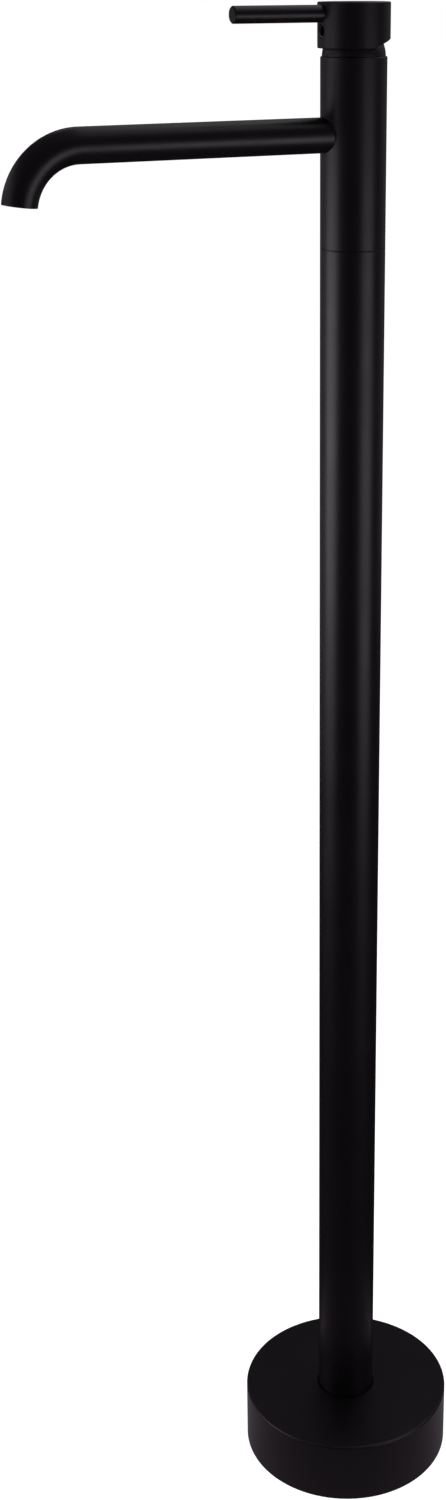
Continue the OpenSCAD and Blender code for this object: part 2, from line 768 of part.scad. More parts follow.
// Union nut: hexagon outside, thread core and relief inside, roof turned in round the tail's neck
module union_nut() {
    translate([0, 0, nut_bottom]) difference() {
        rotate([0, 0, 30]) cylinder(r = nut_corner_d / 2, h = nut_h, $fn = 6);
        translate([0, 0, -1]) cylinder(r = nut_thread_d / 2, h = nut_thread_h + 2);
        translate([0, 0, nut_thread_h]) cylinder(r = nut_thread_d / 2 + nut_relief,
            h = nut_h - nut_roof - nut_thread_h);
        cylinder(r = tail_neck_r + 0.3, h = nut_h + 1);
    }
}

module hot_union_nut() {
    color([0.8, 0.8, 0.82]) translate([-hose_x, 0, 0]) union_nut();
}

module cold_union_nut() {
    color([0.8, 0.8, 0.82]) translate([hose_x, 0, 0]) union_nut();
}

// Floor fixing

// Socket: flanged collar that the riser stands in, with a pocket below for the unions
module riser_socket() {
    color([0.62, 0.63, 0.65]) translate([0, 0, plate_top]) difference() {
        union() {
            cylinder(r = flange_d / 2, h = flange_t);
            cylinder(r = collar_r, h = socket_h);
        }
        translate([0, 0, -1]) cylinder(r = opening_r - 1.8, h = socket_pocket_h + 1);
        cylinder(r = riser_bore_r, h = 2 * socket_h);
        translate([0, 0, socket_pocket_h + socket_lip_h]) cylinder(r = socket_bore_r, h = socket_h);
        around(bolt_count, bolt_pcd / 2) translate([0, 0, -1])
            cylinder(r = bolt_d / 2 + 0.25, h = flange_t + 2);
        around(clamp_count, 0, 30) translate([0, 0, clamp_z - plate_top]) rotate([0, 90, 0])
            cylinder(r = clamp_d / 2 + seat_gap, h = flange_d);
    }
}

module clamp_screws() {
    color([0.3, 0.3, 0.32]) for (i = [0 : clamp_count - 1])
        rotate([0, 0, 120 + i * 360 / clamp_count]) translate([0, 0, clamp_z])
            set_screw(clamp_d, column_r + seat_gap, collar_wall - 0.4);
}

// Cap screws through the socket's flange into the plate
module socket_bolts() {
    color([0.7, 0.7, 0.72]) around(bolt_count, bolt_pcd / 2)
        translate([0, 0, plate_top + flange_t]) difference() {
            union() {
                cylinder(r = bolt_head_r, h = bolt_d);
                translate([0, 0, -flange_t - plate_t + 0.5])
                    cylinder(r = bolt_d / 2, h = flange_t + plate_t);
            }
            translate([0, 0, bolt_d / 2]) cylinder(r = bolt_d * 0.47, h = bolt_d, $fn = 6);
        }
}

module floor_plate() {
    color([0.66, 0.67, 0.69]) translate([0, 0, plate_z]) difference() {
        cylinder(r = plate_d / 2, h = plate_t);
        translate([0, 0, -1]) cylinder(r = opening_r, h = plate_t + 2);
        around(anchor_count, anchor_pcd / 2, 45) translate([0, 0, -1])
            cylinder(r = anchor_d / 2, h = plate_t + 2);
        around(bolt_count, bolt_pcd / 2) translate([0, 0, -1])
            cylinder(r = bolt_d / 2 + seat_gap, h = plate_t + 2);
    }
}

module floor_gasket() {
    color([0.14, 0.14, 0.14]) difference() {
        cylinder(r = plate_d / 2, h = gasket_t);
        translate([0, 0, -1]) cylinder(r = opening_r, h = gasket_t + 2);
        around(anchor_count, anchor_pcd / 2, 45) translate([0, 0, -1])
            cylinder(r = anchor_d / 2 + 1, h = gasket_t + 2);
    }
}

// Base cover: a turned bell with a rounded upper edge and a grooved neck round the riser
module base_cover() {
    cover_r = cover_d / 2;
    color([0.07, 0.07, 0.08]) rotate_extrude() difference() {
        union() {
            translate([neck_bore_r, cover_h - cover_top])
                square([cover_r - cover_edge_r - neck_bore_r, cover_top]);
            translate([cover_r - cover_wall, 0]) square([cover_wall, cover_h - cover_edge_r]);
            translate([cover_r - cover_edge_r, cover_h - cover_edge_r]) circle(r = cover_edge_r);
            translate([cover_r - cover_wall - 2, cover_h - cover_top])
                square([cover_wall + 2 - cover_edge_r, cover_top]);
            translate([neck_bore_r, cover_h - neck_h]) square([neck_wall, neck_h]);
        }
        translate([neck_bore_r - 1, groove_z]) square([1 + groove_deep, groove_h]);
    }
}

// Grip ring: sits in the neck's groove, its lip drags on the riser
module cover_grip_ring() {
    color([0.1, 0.1, 0.1]) rotate_extrude() union() {
        translate([neck_bore_r, groove_z + 0.1]) square([groove_deep - 0.1, groove_h - 0.2]);
        translate([column_r + run_gap, groove_z + 0.5])
            square([neck_gap - run_gap + eps, lip_h]);
    }
}

handle_cap();
lever_pin();
handle_grub_screw();
cartridge_stem();
stem_rotor();
stem_pivot_pin();
disc_carrier();
carrier_seal();
moving_disc();
fixed_disc();
disc_seals();
cartridge_base();
seat_seals();
cartridge_housing();
limit_ring();
retaining_nut();
cartridge_cover();
mixer_body();
spout();
aerator_housing();
aerator_insert();
aerator_screen();
aerator_washer();
head_coupling();
coupling_rings();
head_lock_screw();
riser_column();
hot_hose();
cold_hose();
hose_ferrules();
hose_studs();
stud_rings();
hose_tails();
tail_washers();
hot_union_nut();
cold_union_nut();
riser_socket();
clamp_screws();
socket_bolts();
floor_plate();
floor_gasket();
base_cover();
cover_grip_ring();
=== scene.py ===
import bmesh
import bpy
import json
import math
import numpy as np
from mathutils import Matrix, Vector


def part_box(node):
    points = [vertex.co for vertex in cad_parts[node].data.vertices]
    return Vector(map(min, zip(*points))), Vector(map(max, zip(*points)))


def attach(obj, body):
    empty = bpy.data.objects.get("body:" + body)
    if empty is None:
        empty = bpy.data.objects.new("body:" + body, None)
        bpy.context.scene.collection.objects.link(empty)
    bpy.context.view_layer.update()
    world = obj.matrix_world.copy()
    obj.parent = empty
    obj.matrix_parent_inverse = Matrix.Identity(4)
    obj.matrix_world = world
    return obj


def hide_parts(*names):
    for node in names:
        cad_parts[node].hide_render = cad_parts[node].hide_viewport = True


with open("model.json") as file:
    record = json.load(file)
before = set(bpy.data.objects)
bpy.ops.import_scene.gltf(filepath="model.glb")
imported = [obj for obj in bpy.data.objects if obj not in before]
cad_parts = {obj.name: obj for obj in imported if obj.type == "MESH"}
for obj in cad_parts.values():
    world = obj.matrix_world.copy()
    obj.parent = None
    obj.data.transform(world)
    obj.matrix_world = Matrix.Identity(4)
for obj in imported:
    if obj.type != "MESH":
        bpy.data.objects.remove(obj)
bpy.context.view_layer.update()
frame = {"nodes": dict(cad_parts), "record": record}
nodes = frame["nodes"]
scene = bpy.context.scene
mm = 0.001
print("frame loaded")


def newMesh(name, verts, faces, smooth=True):
    me = bpy.data.meshes.new(name)
    me.from_pydata(np.asarray(verts, float).tolist(), [], np.asarray(faces).tolist())
    me.polygons.foreach_set("use_smooth", np.full(len(me.polygons), smooth))
    me.update()
    return me


def newObject(name, data):
    o = bpy.data.objects.new(name, data)
    scene.collection.objects.link(o)
    return o


def angles(turns):
    return np.linspace(0, 2 * math.pi, turns, endpoint=False)


# Camera: the photo's viewpoint, measured from the object's edges
cameraValues = {
    "place": (1.26646, -0.64416, 1.20470),  # metres, in the object's frame
    "turn": 63.04,        # degrees, from the object's rear to the camera's straight-ahead
    "pitch": 19.167,      # degrees down
    "yaw": -1.515,        # degrees
    "roll": -0.142,       # degrees
    "lens": 47.899,       # mm
    "sensor": 36.0,       # mm, along the picture's long side
    "shift": (-0.0515, -0.0622),  # shares of the picture's long side
    "clip": (0.01, 300.0),  # metres
}


def addCamera(v):
    pitch, yaw, roll = (math.radians(v[k]) for k in ("pitch", "yaw", "roll"))
    ahead = Vector((math.sin(yaw) * math.cos(pitch), math.cos(yaw) * math.cos(pitch), -math.sin(pitch)))
    right = Vector((math.cos(yaw), -math.sin(yaw), 0.0))
    up = right.cross(ahead)
    turned = right * math.cos(roll) + up * math.sin(roll)
    up = up * math.cos(roll) - right * math.sin(roll)
    axes = Matrix((turned, up, -ahead)).transposed().to_4x4()
    cam = newObject("photoCamera", bpy.data.cameras.new("photoCamera"))
    turn = Matrix.Rotation(math.radians(v["turn"]), 4, "Z")
    cam.matrix_world = Matrix.Translation(v["place"]) @ turn @ axes
    cam.data.sensor_width = v["sensor"]
    cam.data.lens = v["lens"]
    cam.data.shift_x, cam.data.shift_y = v["shift"]
    cam.data.clip_start, cam.data.clip_end = v["clip"]
    scene.camera = cam


addCamera(cameraValues)

# Studio: a pale floor that glows a little, as a light table does, a pale surround and softboxes
studioValues = {
    "floorHalf": 32.0,        # metres
    "floorColour": (0.80, 0.80, 0.795),
    "floorRough": 0.9,
    "floorSheen": 0.1,
    "floorGlow": 1.0,
    "surroundRadius": 32.0,   # metres
    "surroundSkirt": 0.15,    # radians that it goes below level
    "surroundRings": 16,
    "surroundTurns": 48,
    "surroundGlow": 1.0,
    # world strength by the height of the direction: -1 straight down, 0 level, 1 straight up
    "ambient": ((-0.02, 0.013), (0.12, 0.035), (0.32, 0.05), (0.62, 0.055), (0.8, 0.09), (0.95, 0.11)),
    "bounceRadius": 0.2,      # metres, of the part of the floor that the glossy paint sees
    "bounceLift": 0.0001,     # metres above the floor
    "bounceTurns": 64,
    # its glow, by metres from the riser's axis towards the camera
    "bounceGlow": ((-0.2, 0.01), (-0.1, 0.03), (-0.07, 0.28), (0.0, 0.21), (0.2, 0.05)),
    "green": 0.86,            # green share of the world and of that glow, for the photo's magenta cast
}
softboxes = [
    # name, azimuth in degrees, then metres: height, distance from the axis, width, tall; then watts
    ("keyLeft", -106.0, 0.545, 1.6, 1.3, 0.67, 7.2),
    ("highLeft", -118.0, 1.52, 1.6, 2.6, 0.5, 1.7),
    ("rimLeft", -160.0, 0.60, 1.6, 1.4, 1.1, 0.68),
    ("fillRight", 28.0, 0.49, 1.6, 1.1, 0.80, 4.4),
    ("rimRight", 105.0, 0.95, 1.6, 1.4, 1.5, 0.8),
    ("highRight", 86.0, 2.00, 1.6, 0.6, 0.5, 1.6),
    ("backTop", 140.0, 1.78, 0.90, 1.5, 0.9, 1.1),
    ("overhead", 97.0, 2.70, 1.0, 2.0, 1.0, 4.7),
]
highestAim = 0.75  # metres: a softbox above this height is tilted down to it


def principled(m):
    return m.node_tree.nodes["Principled BSDF"]


def glowMaterial(name, colour, sheen, glow):
    m = bpy.data.materials.new(name)
    m.use_nodes = True
    p = principled(m)
    p.inputs["Base Color"].default_value = (*colour, 1)
    p.inputs["Specular IOR Level"].default_value = sheen
    p.inputs["Emission Color"].default_value = (1, 1, 1, 1)
    p.inputs["Emission Strength"].default_value = glow
    return m


def addRamp(t, value, low, high, stops, green):
    # grey levels, with a share of green, by the value's place between low and high
    place = t.nodes.new("ShaderNodeMapRange")
    place.inputs["From Min"].default_value = low
    place.inputs["From Max"].default_value = high
    t.links.new(value, place.inputs["Value"])
    ramp = t.nodes.new("ShaderNodeValToRGB")
    marks = ramp.color_ramp.elements
    while len(marks) < len(stops):
        marks.new(0.5)
    for mark, (x, level) in zip(marks, stops):
        mark.position = (x - low) / (high - low)
        mark.color = (level, level * green, level, 1)
    t.links.new(place.outputs[0], ramp.inputs[0])
    return ramp.outputs[0]


def addFloor(v):
    s = v["floorHalf"]
    corners = [(-s, -s, 0), (s, -s, 0), (s, s, 0), (-s, s, 0)]
    floor = newObject("floor", newMesh("floor", corners, [(0, 1, 2, 3)], False))
    m = glowMaterial("floorWhite", v["floorColour"], v["floorSheen"], v["floorGlow"])
    principled(m).inputs["Roughness"].default_value = v["floorRough"]
    floor.data.materials.append(m)
    floor.visible_glossy = False
    return floor


def addSurround(v):
    # a dome about the origin: the radius times (cos e cos a, cos e sin a, sin e)
    rings, turns = v["surroundRings"], v["surroundTurns"]
    e = np.linspace(-v["surroundSkirt"], math.pi / 2, rings + 1)[:, None]
    a = angles(turns)[None]
    dome = np.stack([np.cos(e) * np.cos(a), np.cos(e) * np.sin(a), np.sin(e) + 0 * a], -1)
    i, k = np.meshgrid(np.arange(rings), np.arange(turns), indexing="ij")
    j = (k + 1) % turns
    faces = np.stack([i * turns + k, (i + 1) * turns + k, (i + 1) * turns + j, i * turns + j], -1)
    me = newMesh("surround", v["surroundRadius"] * dome.reshape(-1, 3), faces.reshape(-1, 4))
    me.materials.append(glowMaterial("surroundWhite", (0, 0, 0), 0, v["surroundGlow"]))
    surround = newObject("surround", me)
    surround.visible_glossy = surround.visible_diffuse = surround.visible_shadow = False
    surround.visible_transmission = False
    return surround


def addBounce(v):
    # a disc on the floor, which glows by the place towards the camera and shows in reflections only
    turns, radius = v["bounceTurns"], v["bounceRadius"]
    a = angles(turns)
    rim = np.stack([radius * np.cos(a), radius * np.sin(a), np.full(turns, v["bounceLift"])], -1)
    bounce = newObject("floorBounce", newMesh("floorBounce", rim, [range(turns)], False))
    m = glowMaterial("floorBounce", (0, 0, 0), 0, 1.0)
    t = m.node_tree
    towards = t.nodes.new("ShaderNodeVectorMath")
    towards.operation = "DOT_PRODUCT"
    x, y = cameraValues["place"][:2]
    towards.inputs[1].default_value = (x / math.hypot(x, y), y / math.hypot(x, y), 0)
    t.links.new(t.nodes.new("ShaderNodeTexCoord").outputs["Object"], towards.inputs[0])
    glow = addRamp(t, towards.outputs["Value"], -radius, radius, v["bounceGlow"], v["green"])
    t.links.new(glow, principled(m).inputs["Emission Color"])
    bounce.data.materials.append(m)
    bounce.visible_camera = bounce.visible_diffuse = bounce.visible_shadow = False
    return bounce


def addWorld(v):
    w = bpy.data.worlds.new("studio")
    scene.world = w
    w.use_nodes = True
    t = w.node_tree
    xyz = t.nodes.new("ShaderNodeSeparateXYZ")
    t.links.new(t.nodes.new("ShaderNodeTexCoord").outputs["Generated"], xyz.inputs[0])
    t.links.new(addRamp(t, xyz.outputs[2], -1.0, 1.0, v["ambient"], v["green"]),
                t.nodes["Background"].inputs["Color"])
    t.nodes["Background"].inputs["Strength"].default_value = 1.0


def addSoftbox(name, azimuth, height, distance, width, tall, watts):
    a = math.radians(azimuth)
    light = bpy.data.lights.new(name, "AREA")
    light.shape = "RECTANGLE"
    light.size, light.size_y = width, tall
    light.energy = watts
    o = newObject(name, light)
    o.location = (distance * math.cos(a), distance * math.sin(a), height)
    aim = Vector((0, 0, min(height, highestAim))) - o.location
    o.rotation_euler = aim.to_track_quat("-Z", "Y").to_euler()
    o.visible_camera = False


floor, surround, bounce = addFloor(studioValues), addSurround(studioValues), addBounce(studioValues)
addWorld(studioValues)
for values in softboxes:
    addSoftbox(*values)
scene.view_settings.view_transform = "Standard"
scene.view_settings.look = "None"
print("studio built")

# Shader groups shared by the materials: each gives a colour, a roughness and a height
patternValues = {
    # coating: noise scales, and the fine grain's share of the height and of the sheen
    "cloud": 22.0, "fine": 5200.0, "fineInHeight": 0.25, "fineInSheen": 0.3,
    "stain": 60.0,        # turned
    "shade": 90.0,        # moulded
    "strandsRound": 8.0,  # braid, in each of its two directions
    "strandsAlong": 1300.0,  # radians for each metre
}


def newGroup(name, smooth, rough, extra, extraValue):
    # Deep and Raised are colours; the extra input is a noise scale or, for the braid, a distance in metres
    g = bpy.data.node_groups.new(name, "ShaderNodeTree")
    for label, kind, value in (("Deep", "Color", (0, 0, 0, 1)), ("Raised", "Color", (1, 1, 1, 1)),
                               ("Smooth", "Float", smooth), ("Rough", "Float", rough),
                               (extra, "Float", extraValue)):
        s = g.interface.new_socket(name=label, in_out="INPUT", socket_type="NodeSocket" + kind)
        s.default_value = value
    for label, kind in (("Color", "Color"), ("Roughness", "Float"), ("Height", "Float")):
        g.interface.new_socket(name=label, in_out="OUTPUT", socket_type="NodeSocket" + kind)
    given = g.nodes.new("NodeGroupInput").outputs
    return g, given, g.nodes.new("ShaderNodeTexCoord").outputs["Object"]


def feed(g, socket, value):
    # the value is a number or another node's output
    if isinstance(value, (int, float)):
        socket.default_value = value
    else:
        g.links.new(value, socket)


def noise(g, vector, scale, detail, rough=0.5):
    n = g.nodes.new("ShaderNodeTexNoise")
    n.inputs["Detail"].default_value = detail
    n.inputs["Roughness"].default_value = rough
    g.links.new(vector, n.inputs["Vector"])
    feed(g, n.inputs["Scale"], scale)
    return n.outputs["Fac"]


def mathNode(g, kind, *values):
    n = g.nodes.new("ShaderNodeMath")
    n.operation = kind
    for socket, value in zip(n.inputs, values):
        feed(g, socket, value)
    return n.outputs[0]


def weighted(g, a, b, share):
    # a and b added, with b's share given
    return mathNode(g, "ADD", mathNode(g, "MULTIPLY", a, 1 - share), mathNode(g, "MULTIPLY", b, share))


def contrast(g, x, low=0.3, high=0.7):
    # low goes to 0 and high to 1
    n = g.nodes.new("ShaderNodeMapRange")
    g.links.new(x, n.inputs["Value"])
    n.inputs["From Min"].default_value = low
    n.inputs["From Max"].default_value = high
    return n.outputs[0]


def closeGroup(g, given, colour, sheen, height):
    # colour takes Deep to Raised, and sheen takes Smooth to Rough
    mix = g.nodes.new("ShaderNodeMix")
    mix.data_type = "RGBA"
    g.links.new(colour, mix.inputs["Factor"])
    g.links.new(given["Deep"], mix.inputs["A"])
    g.links.new(given["Raised"], mix.inputs["B"])
    rough = g.nodes.new("ShaderNodeMapRange")
    g.links.new(sheen, rough.inputs["Value"])
    g.links.new(given["Smooth"], rough.inputs["To Min"])
    g.links.new(given["Rough"], rough.inputs["To Max"])
    out = g.nodes.new("NodeGroupOutput")
    g.links.new(mix.outputs["Result"], out.inputs["Color"])
    g.links.new(rough.outputs[0], out.inputs["Roughness"])
    g.links.new(height, out.inputs["Height"])
    return g


def makeCoating(v):
    # sprayed satin coat: fine orange peel, faint cloudiness in the sheen
    g, given, place = newGroup("coating", smooth=0.3, rough=0.4, extra="Grain", extraValue=1400.0)
    peel = noise(g, place, given["Grain"], detail=2.0, rough=0.6)
    cloud = noise(g, place, v["cloud"], detail=3.0)
    fine = noise(g, place, v["fine"], detail=1.0)
    height = weighted(g, peel, fine, v["fineInHeight"])
    sheen = weighted(g, contrast(g, cloud), fine, v["fineInSheen"])
    return closeGroup(g, given, contrast(g, height), sheen, height)


def makeTurned(v):
    # lathe-turned metal: fine rings round the upright axis, with a little staining
    g, given, place = newGroup("turned", smooth=0.2, rough=0.4, extra="Rings", extraValue=2600.0)
    xyz = g.nodes.new("ShaderNodeSeparateXYZ")
    g.links.new(place, xyz.inputs[0])
    flat = g.nodes.new("ShaderNodeCombineXYZ")
    squares = [mathNode(g, "POWER", xyz.outputs[k], 2.0) for k in (0, 1)]
    g.links.new(mathNode(g, "SQRT", mathNode(g, "ADD", *squares)), flat.inputs[0])
    g.links.new(xyz.outputs[2], flat.inputs[2])
    rings = noise(g, flat.outputs[0], given["Rings"], detail=2.0, rough=0.6)
    stain = noise(g, place, v["stain"], detail=3.0, rough=0.6)
    return closeGroup(g, given, contrast(g, stain, low=0.25, high=0.75), rings, rings)


def makeMoulded(v):
    # moulded plastic, rubber or pressed ceramic: spark-eroded grain and slow shade changes
    g, given, place = newGroup("moulded", smooth=0.4, rough=0.55, extra="Grain", extraValue=2200.0)
    grain = noise(g, place, given["Grain"], detail=2.0)
    shade = noise(g, place, v["shade"], detail=2.0)
    return closeGroup(g, given, contrast(g, shade), grain, grain)


def makeBraid(v):
    # wire braid round an upright hose at a distance from the riser's axis: two crossing sets of strands
    g, given, place = newGroup("braid", smooth=0.25, rough=0.6, extra="Centre", extraValue=0.0115)
    xyz = g.nodes.new("ShaderNodeSeparateXYZ")
    g.links.new(place, xyz.inputs[0])
    side = mathNode(g, "SUBTRACT", mathNode(g, "ABSOLUTE", xyz.outputs[0]), given["Centre"])
    around = mathNode(g, "MULTIPLY", mathNode(g, "ARCTAN2", xyz.outputs[1], side), v["strandsRound"])
    along = mathNode(g, "MULTIPLY", xyz.outputs[2], v["strandsAlong"])
    a = mathNode(g, "SINE", mathNode(g, "ADD", around, along))
    b = mathNode(g, "SINE", mathNode(g, "SUBTRACT", around, along))
    over = mathNode(g, "GREATER_THAN", mathNode(g, "MULTIPLY", a, b), 0.0)
    under = mathNode(g, "SUBTRACT", 1.0, over)
    strand = mathNode(g, "ADD", mathNode(g, "MULTIPLY", mathNode(g, "ABSOLUTE", a), over),
                      mathNode(g, "MULTIPLY", mathNode(g, "ABSOLUTE", b), under))
    return closeGroup(g, given, strand, mathNode(g, "SUBTRACT", 1.0, strand), strand)


groups = {"coating": makeCoating(patternValues), "turned": makeTurned(patternValues),
          "moulded": makeMoulded(patternValues), "braid": makeBraid(patternValues)}

# One finish for each material slot of the record: group, its inputs, bump height in metres, and fixed
# shader values
finishes = {
    "matt_black": ("coating", {"Deep": (0.0018, 0.0009, 0.0018, 1), "Raised": (0.0031, 0.0020, 0.0031, 1),
                               "Smooth": 0.34, "Rough": 0.42, "Grain": 1500.0}, 0.00001,
                   {"Specular Tint": (1.0, 0.92, 1.0, 1)}),
    "brass": ("turned", {"Deep": (0.50, 0.34, 0.13, 1), "Raised": (0.72, 0.53, 0.24, 1),
                         "Smooth": 0.2, "Rough": 0.38}, 0.00002, {"Metallic": 1.0}),
    "nickel_plated": ("turned", {"Deep": (0.55, 0.53, 0.49, 1), "Raised": (0.7, 0.68, 0.64, 1),
                                 "Smooth": 0.14, "Rough": 0.26}, 0.00001, {"Metallic": 1.0}),
    "socket_metal": ("turned", {"Deep": (0.38, 0.39, 0.40, 1), "Raised": (0.52, 0.53, 0.55, 1),
                                "Smooth": 0.28, "Rough": 0.46, "Rings": 1500.0}, 0.00003,
                     {"Metallic": 1.0}),
    "steel": ("turned", {"Deep": (0.48, 0.49, 0.50, 1), "Raised": (0.62, 0.63, 0.65, 1),
                         "Smooth": 0.24, "Rough": 0.42}, 0.00002, {"Metallic": 1.0}),
    "braid": ("braid", {"Deep": (0.06, 0.06, 0.065, 1), "Raised": (0.62, 0.62, 0.64, 1)}, 0.0002,
              {"Metallic": 0.9}),
    "white_plastic": ("moulded", {"Deep": (0.78, 0.78, 0.75, 1), "Raised": (0.86, 0.86, 0.83, 1)},
                      0.00001, {}),
    "grey_plastic": ("moulded", {"Deep": (0.24, 0.25, 0.27, 1), "Raised": (0.32, 0.33, 0.35, 1)},
                     0.00001, {}),
    "red_plastic": ("moulded", {"Deep": (0.46, 0.05, 0.04, 1), "Raised": (0.62, 0.08, 0.06, 1)},
                    0.00001, {}),
    "black_plastic": ("moulded", {"Deep": (0.010, 0.010, 0.011, 1), "Raised": (0.018, 0.018, 0.019, 1)},
                      0.00001, {}),
    "disc_ceramic": ("moulded", {"Deep": (0.88, 0.87, 0.82, 1), "Raised": (0.94, 0.93, 0.89, 1),
                                 "Smooth": 0.12, "Rough": 0.22}, 0.000004, {}),
    "rubber": ("moulded", {"Deep": (0.012, 0.012, 0.012, 1), "Raised": (0.022, 0.022, 0.022, 1),
                           "Smooth": 0.6, "Rough": 0.75}, 0.00002, {}),
}


def makeMaterial(name, group, inputs, bump, fixed):
    m = bpy.data.materials.new(name)
    m.use_nodes = True
    t = m.node_tree
    p = principled(m)
    n = t.nodes.new("ShaderNodeGroup")
    n.node_tree = groups[group]
    for key, value in inputs.items():
        n.inputs[key].default_value = value
    for key, value in fixed.items():
        p.inputs[key].default_value = value
    b = t.nodes.new("ShaderNodeBump")
    b.inputs["Distance"].default_value = bump
    b.inputs["Strength"].default_value = 1.0
    t.links.new(n.outputs["Color"], p.inputs["Base Color"])
    t.links.new(n.outputs["Roughness"], p.inputs["Roughness"])
    t.links.new(n.outputs["Height"], b.inputs["Height"])
    t.links.new(b.outputs["Normal"], p.inputs["Normal"])
    return m


materials = {slot: makeMaterial(slot, *v) for slot, v in finishes.items()}
slotOf = {s["node"]: s["material_slot"] for s in frame["record"]["subparts"]}
for name, o in nodes.items():
    for s in o.material_slots:
        s.material = materials[slotOf[name]]
print("materials made")

# Mesh helpers. A loop is a closed outline of (distance from the axis, place along the axis)
roundTurns = 192         # round the riser and what fits it
fineEdge = 0.15 * mm     # fillet of edges that hardly show
weldDistance = 1e-7      # metres


def roundedLoop(corners, steps=5, support=0.6 * mm):
    # each corner is (r, s, fillet): fillets become arcs, with a support row just before and after
    # where the side is at least three times as long as what the arc and the row take
    points = []
    count = len(corners)
    for i, corner in enumerate(corners):
        p, before, after = (np.array(corners[k % count][:2], float) for k in (i, i - 1, i + 1))
        fillet = corner[2]
        if fillet == 0:
            points.append(p)
            continue
        toBefore, toAfter = before - p, after - p
        lengths = np.linalg.norm(toBefore), np.linalg.norm(toAfter)
        u, w = toBefore / lengths[0], toAfter / lengths[1]
        half = math.acos(np.clip(u @ w, -1, 1)) / 2
        tangent = fillet / math.tan(half)
        centre = p + (u + w) / np.linalg.norm(u + w) * fillet / math.sin(half)
        start, end = p + u * tangent - centre, p + w * tangent - centre
        sweep = math.pi - 2 * half
        if lengths[0] > 3 * (tangent + support):
            points.append(p + u * (tangent + support))
        t = np.linspace(0, 1, steps + 1)[:, None]
        turned = start * np.sin((1 - t) * sweep) + end * np.sin(t * sweep)
        points += list(centre + turned / math.sin(sweep))
        if lengths[1] > 3 * (tangent + support):
            points.append(p + w * (tangent + support))
    return np.array(points)


def refined(loop, longest):
    # extra rows along the axis, evenly between two points, so that a swept loop can bend
    step = np.roll(loop, -1, axis=0) - loop
    count = np.maximum(1, np.ceil(np.abs(step[:, 1]) / longest)).astype(int)
    first = np.repeat(np.cumsum(count) - count, count)
    share = (np.arange(count.sum()) - first) / np.repeat(count, count)
    return np.repeat(loop, count, axis=0) + np.repeat(step, count, axis=0) * share[:, None]


def gridSolid(grid):
    # grid: (turns, rows, 3), closed both ways; gives vertices and outward quads
    turns, rows = grid.shape[:2]
    i, j = np.meshgrid(np.arange(turns), np.arange(rows), indexing="ij")
    nextTurn, nextRow = (i + 1) % turns, (j + 1) % rows
    faces = np.stack([i * rows + j, nextTurn * rows + j, nextTurn * rows + nextRow,
                      i * rows + nextRow], -1).reshape(-1, 4)
    verts = grid.reshape(-1, 3)
    corner = verts[faces]
    volume = sum(np.einsum("ij,ij->i", corner[:, 0], np.cross(corner[:, k], corner[:, k + 1])).sum()
                 for k in (1, 2))
    return verts, faces[:, ::-1] if volume < 0 else faces


def revolved(loop, turns, centre=(0.0, 0.0, 0.0)):
    # the loop turned about the upright axis: (r cos a, r sin a, z)
    a = angles(turns)[:, None]
    r, z = loop[:, 0][None], loop[:, 1][None]
    return gridSolid(np.stack([r * np.cos(a), r * np.sin(a), z + 0 * a], -1) + np.array(centre))


def shapedRows(rows, turns, centre=(0.0, 0.0, 0.0)):
    # rows of (radius as a number or as a function of the angle, height), for hexagons and knurls
    a = angles(turns)
    columns = []
    for radius, z in rows:
        r = radius(a) if callable(radius) else np.full(turns, radius)
        columns.append(np.stack([r * np.cos(a), r * np.sin(a), np.full(turns, z)], -1))
    return gridSolid(np.stack(columns, 1) + np.array(centre))


def hexagon(acrossFlats):
    # half the width across flats, over the cosine of the angle to the middle of the nearest flat
    def radius(angle):
        return acrossFlats / 2 / np.cos((angle + math.pi / 6) % (math.pi / 3) - math.pi / 6)
    return radius


# Screw threads are drawn as grooves: places in shares of the pitch, depths in shares of the thread's
threadShape = ((0.1, 1.0), (0.45, 0.0), (0.6, 0.0), (0.95, 1.0))


def threadRows(radius, depth, start, end, pitch):
    # (radius, place) of each crest and root, from start to end
    return [(radius - deep * depth, start + (k + share) * pitch)
            for k in range(round((end - start) / pitch)) for share, deep in threadShape]


def addPiece(name, solids, body, slot, replaces=(), sharpDegrees=32.0):
    verts = np.concatenate([s[0] for s in solids])
    starts = np.cumsum([0] + [len(s[0]) for s in solids[:-1]])
    me = newMesh(name, verts, np.concatenate([s[1] + start for s, start in zip(solids, starts)]))
    bm = bmesh.new()
    bm.from_mesh(me)
    bmesh.ops.remove_doubles(bm, verts=bm.verts, dist=weldDistance)  # closes the poles
    bmesh.ops.dissolve_degenerate(bm, edges=bm.edges, dist=weldDistance / 10)
    bm.to_mesh(me)
    bm.free()
    me.set_sharp_from_angle(angle=math.radians(sharpDegrees))
    me.materials.append(materials[slot])
    me.update()
    o = newObject(name, me)
    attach(o, body)
    if replaces:
        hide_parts(*replaces)


# Riser: a plain tube whose ends are broken by a fine radius
riserValues = {"edge": 0.3 * mm, "wall": 2.0 * mm}


def addRiser(v):
    low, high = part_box("riser_column")
    outer, bore = high.x, high.x - v["wall"]
    loop = roundedLoop([(bore, low.z, v["edge"]), (outer, low.z, v["edge"]),
                        (outer, high.z, v["edge"]), (bore, high.z, v["edge"])])
    addPiece("riserTube", [revolved(loop, roundTurns)], "riser", "matt_black", ["riser_column"])


addRiser(riserValues)

# Base cover: a spun bell with a soft upper edge and a grooved neck
coverValues = {
    "wall": 2.0 * mm, "top": 3.0 * mm, "softEdge": 1.6 * mm, "footEdge": 0.4 * mm, "innerEdge": 0.8 * mm,
    "neckWall": 4.0 * mm, "neckHeight": 7.0 * mm, "neckEdge": 0.35 * mm,
    "grooveDepth": 1.8 * mm, "ringFit": 0.1 * mm, "edgeSteps": 7, "turns": 320,
}


